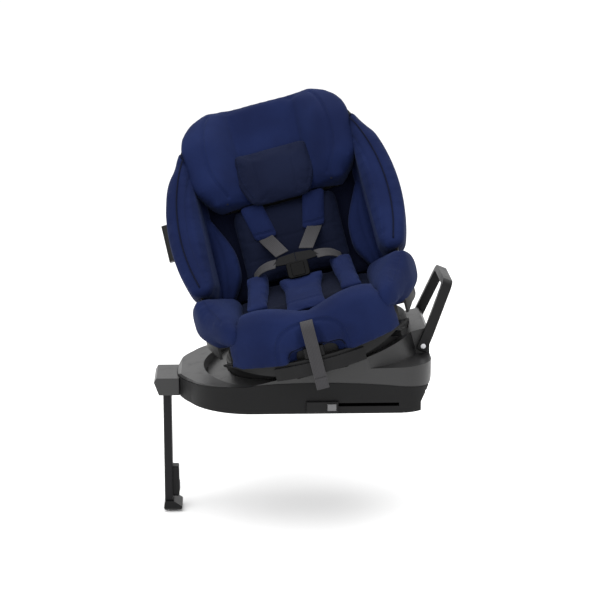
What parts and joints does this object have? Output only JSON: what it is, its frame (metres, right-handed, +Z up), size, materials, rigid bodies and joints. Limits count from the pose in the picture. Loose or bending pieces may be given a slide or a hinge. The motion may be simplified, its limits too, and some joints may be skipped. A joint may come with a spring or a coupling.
{
  "type": "convertible car seat",
  "caption": "Rotating child car seat with padded wings, headrest and five-point harness, on a base with support leg, anti-rebound bar and ISOFIX arms.",
  "frame": {"origin": "on the base's underside, on its centre plane, below the swivel", "axes": "+Z up, -X towards the support leg and the front of the car, +X towards the vehicle's backrest, -Y the door side that the seat faces at rest"},
  "size_m": [0.604, 0.5541, 0.8337],
  "materials": {
    "cover_fabric": "knitted mesh",
    "insert_fabric": "smooth jersey",
    "webbing": "woven polyester",
    "shell_plastic": "fine spark texture",
    "base_plastic": "fine spark texture",
    "tray_plastic": "fine spark texture",
    "trim_plastic": "satin",
    "button_plastic": "light grey",
    "buckle_plastic": "satin",
    "steel": "zinc plated",
    "leg_metal": "satin powder coat",
    "sole_rubber": "ribbed"
  },
  "bodies": {
    "base": {"base_tray": "tray_plastic", "base_cover": "base_plastic", "swivel_post": "steel", "swivel_bearing_ring": "steel", "isofix_guide_left": "steel", "isofix_guide_right": "steel", "leg_bracket": "tray_plastic", "leg_hinge_pin": "steel", "rebound_pins": "steel"},
    "turntable": {"turntable": "trim_plastic", "recline_guides": "steel"},
    "swivel_release": {"swivel_release_lever": "trim_plastic"},
    "seat": {"seat_shell": "shell_plastic", "recline_rails": "shell_plastic", "back_shell": "shell_plastic", "rear_housing": "shell_plastic", "headrest_guide": "steel", "harness_yoke": "steel", "seat_cushion": "insert_fabric", "front_roll": "cover_fabric", "thigh_bolsters": "cover_fabric", "backrest_pad": "cover_fabric", "wing_pads": "cover_fabric", "side_pads": "cover_fabric", "insert_back": "insert_fabric", "insert_seat": "insert_fabric", "hip_pads": "cover_fabric", "crotch_pad": "cover_fabric", "buckle_housing": "buckle_plastic", "harness_tongues": "buckle_plastic", "harness_straps": "webbing", "harness_adjuster": "trim_plastic", "adjuster_strap": "webbing", "adjuster_strap_tail": "webbing"},
    "buckle_button": {"buckle_button": "buckle_plastic"},
    "harness_button": {"adjuster_button": "button_plastic"},
    "recline_handle": {"recline_lever": "trim_plastic"},
    "side_wing": {"impact_wing": "trim_plastic"},
    "headrest": {"headrest_shell": "shell_plastic", "headrest_pad": "cover_fabric", "head_pillow": "insert_fabric", "shoulder_pads": "insert_fabric"},
    "headrest_release": {"headrest_handle": "trim_plastic"},
    "leg_upper": {"leg_outer_tube": "leg_metal", "leg_adjuster": "trim_plastic"},
    "leg_button": {"leg_button": "button_plastic"},
    "leg_lower": {"leg_inner_tube": "leg_metal", "leg_foot": "tray_plastic", "foot_pad": "sole_rubber"},
    "rebound": {"rebound_bar": "trim_plastic"},
    "isofix_left": {"isofix_arm_left": "steel", "isofix_slider_left": "trim_plastic"},
    "isofix_release_left": {"isofix_release_left": "button_plastic"},
    "isofix_hook_left": {"isofix_hook_left": "steel"},
    "isofix_right": {"isofix_arm_right": "steel", "isofix_slider_right": "trim_plastic"},
    "isofix_release_right": {"isofix_release_right": "button_plastic"},
    "isofix_hook_right": {"isofix_hook_right": "steel"}
  },
  "joints": [
    {"name": "swivel", "type": "hinge", "parent": "base", "child": "turntable", "pos_m": [0.041, 0, 0.0755], "axis": [-0.247, 0, 0.969], "continuous": true, "deforming": ["adjuster_strap_tail"]},
    {"name": "recline", "type": "hinge", "parent": "turntable", "child": "seat", "pos_m": [-0.00346, 0, 0.24992], "axis": [-0.969, 0, -0.247], "range_deg": [0, 12]},
    {"name": "swivel_release", "type": "slide", "parent": "turntable", "child": "swivel_release", "axis": [-0.7938, 0.5736, -0.2023], "range_m": [0, 0.005], "stiffness_N_per_m": 800, "springref_m": -0.0015},
    {"name": "headrest_height", "type": "slide", "parent": "seat", "child": "headrest", "axis": [-0.2201, 0.454, 0.8634], "range_m": [0, 0.15]},
    {"name": "headrest_release", "type": "slide", "parent": "headrest", "child": "headrest_release", "axis": [-0.2201, 0.454, 0.8634], "range_m": [0, 0.007], "stiffness_N_per_m": 600, "springref_m": -0.0021},
    {"name": "buckle_press", "type": "slide", "parent": "seat", "child": "buckle_button", "axis": [0.1235, 0.866, -0.4845], "range_m": [0, 0.0038], "stiffness_N_per_m": 2500, "springref_m": -0.00114},
    {"name": "adjuster_press", "type": "slide", "parent": "seat", "child": "harness_button", "axis": [0, 1, 0], "range_m": [0, 0.003], "stiffness_N_per_m": 1500, "springref_m": -0.0009},
    {"name": "recline_pull", "type": "slide", "parent": "seat", "child": "recline_handle", "axis": [0, -1, 0], "range_m": [0, 0.005], "stiffness_N_per_m": 1200, "springref_m": -0.0015},
    {"name": "side_wing_fold", "type": "hinge", "parent": "seat", "child": "side_wing", "pos_m": [-0.25537, 0.14591, 0.27465], "axis": [0.2201, -0.454, -0.8634], "range_deg": [0, 85]},
    {"name": "leg_fold", "type": "hinge", "parent": "base", "child": "leg_upper", "pos_m": [-0.2735, 0, 0.022], "axis": [0, 1, 0], "range_deg": [-90, 0]},
    {"name": "leg_length", "type": "slide", "parent": "leg_upper", "child": "leg_lower", "axis": [0, 0, -1], "range_m": [0, 0.18]},
    {"name": "leg_release", "type": "slide", "parent": "leg_upper", "child": "leg_button", "axis": [-1, 0, 0], "range_m": [0, 0.003], "stiffness_N_per_m": 1000, "springref_m": -0.0009},
    {"name": "rebound_tilt", "type": "hinge", "parent": "base", "child": "rebound", "pos_m": [0.244, 0, 0.112], "axis": [0, 1, 0], "range_deg": [0, 60]},
    {"name": "isofix_slide_left", "type": "slide", "parent": "base", "child": "isofix_left", "axis": [1, 0, 0], "range_m": [0, 0.12]},
    {"name": "isofix_release_left", "type": "slide", "parent": "isofix_left", "child": "isofix_release_left", "axis": [0, 1, 0], "range_m": [0, 0.002], "stiffness_N_per_m": 1200, "springref_m": -0.0006},
    {"name": "isofix_hook_left", "type": "hinge", "parent": "isofix_left", "child": "isofix_hook_left", "pos_m": [0.198, -0.14, 0.031], "axis": [0, -1, 0], "range_deg": [0, 26]},
    {"name": "isofix_slide_right", "type": "slide", "parent": "base", "child": "isofix_right", "axis": [1, 0, 0], "range_m": [0, 0.12]},
    {"name": "isofix_release_right", "type": "slide", "parent": "isofix_right", "child": "isofix_release_right", "axis": [0, -1, 0], "range_m": [0, 0.002], "stiffness_N_per_m": 1200, "springref_m": -0.0006},
    {"name": "isofix_hook_right", "type": "hinge", "parent": "isofix_right", "child": "isofix_hook_right", "pos_m": [0.198, 0.14, 0.031], "axis": [0, -1, 0], "range_deg": [0, 26]}
  ],
  "couplings": [
    {"joint": "isofix_hook_left", "follows": "isofix_release_left", "rad_per_m": 218},
    {"joint": "isofix_hook_right", "follows": "isofix_release_right", "rad_per_m": 218}
  ]
}
